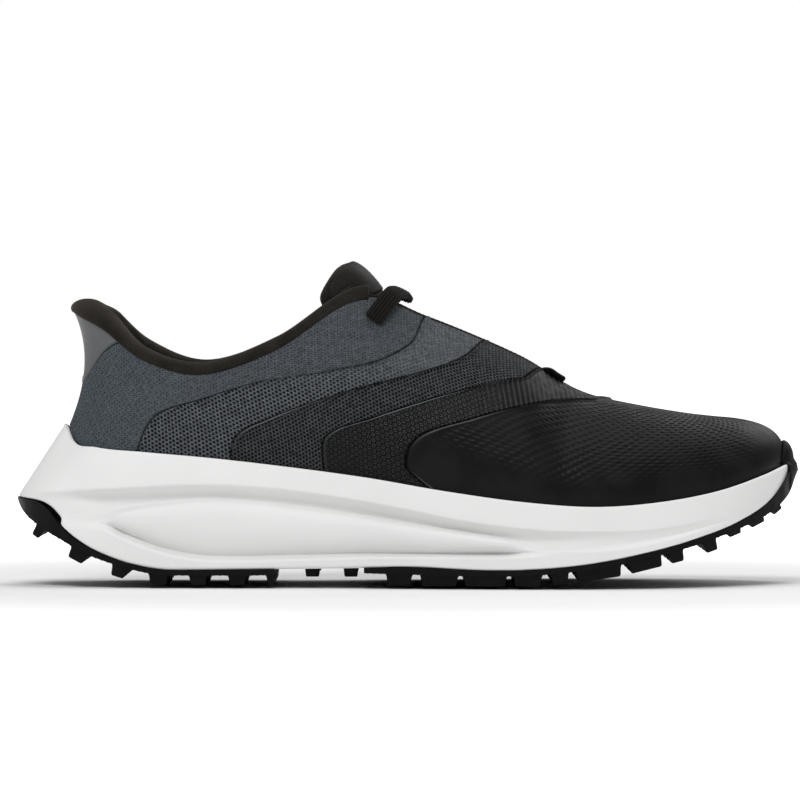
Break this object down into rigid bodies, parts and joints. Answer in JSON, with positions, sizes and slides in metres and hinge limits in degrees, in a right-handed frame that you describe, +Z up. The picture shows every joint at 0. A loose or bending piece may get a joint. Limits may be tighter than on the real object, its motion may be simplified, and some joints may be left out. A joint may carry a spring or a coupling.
{
  "type": "golf shoe",
  "caption": "Right-foot golf shoe with a sculpted foam midsole, lugged rubber outsole, banded textile upper, padded collar, elastic lacing and a tongue top that folds.",
  "frame": {"origin": "centre of the bounding box on the ground, z = 0 at the lowest lug faces", "axes": "+X toe, +Y medial (big-toe) side, +Z up"},
  "size_m": [0.3042, 0.1116, 0.1256],
  "materials": {
    "white_foam": "matte moulded EVA foam",
    "black_rubber": "moulded rubber",
    "stiffener_board": "fibre board",
    "sockliner_fabric": "napped textile over foam",
    "grey_knit": "coated knit, slate grey",
    "grey_band": "coated knit with dark dots",
    "dark_band": "coated knit, charcoal",
    "black_band": "coated knit, black",
    "black_leather": "semi-gloss embossed synthetic leather",
    "heel_grey": "satin film",
    "black_textile": "brushed textile",
    "lace_weave": "woven lace",
    "collar_foam": "open-cell foam"
  },
  "bodies": {
    "shoe": {"midsole": "white_foam", "heel_outsole": "black_rubber", "forefoot_outsole": "black_rubber", "stud_lateral_rear": "black_rubber", "stud_lateral_front": "black_rubber", "stud_medial_rear": "black_rubber", "stud_medial_front": "black_rubber", "strobel_board": "stiffener_board", "sockliner": "sockliner_fabric", "bootie_textile": "black_textile", "quarter_lateral": "grey_knit", "quarter_medial": "grey_knit", "rear_band_lateral": "grey_band", "rear_band_medial": "grey_band", "middle_band_lateral": "dark_band", "middle_band_medial": "dark_band", "front_band": "black_band", "toe_panel": "black_leather", "heel_panel": "heel_grey", "heel_counter": "stiffener_board", "toe_puff": "stiffener_board", "eyestay_lateral": "black_textile", "eyestay_medial": "black_textile", "vamp_lining": "black_textile", "collar_lining": "black_textile", "collar_foam": "collar_foam", "tongue_body": "black_textile", "lace_top": "lace_weave", "lace_throat": "lace_weave", "lace_loop_lateral": "lace_weave", "lace_loop_medial": "lace_weave", "throat_keeper": "lace_weave"},
    "tongue_flap": {"tongue_top": "black_textile", "tongue_patch": "black_leather"}
  },
  "joints": [
    {"name": "tongue_fold", "type": "hinge", "parent": "shoe", "child": "tongue_flap", "pos_m": [-0.0084, 0, 0.1124], "axis": [0, 1, 0], "range_deg": [-5, 40], "stiffness_Nm_per_rad": 0.15}
  ]
}
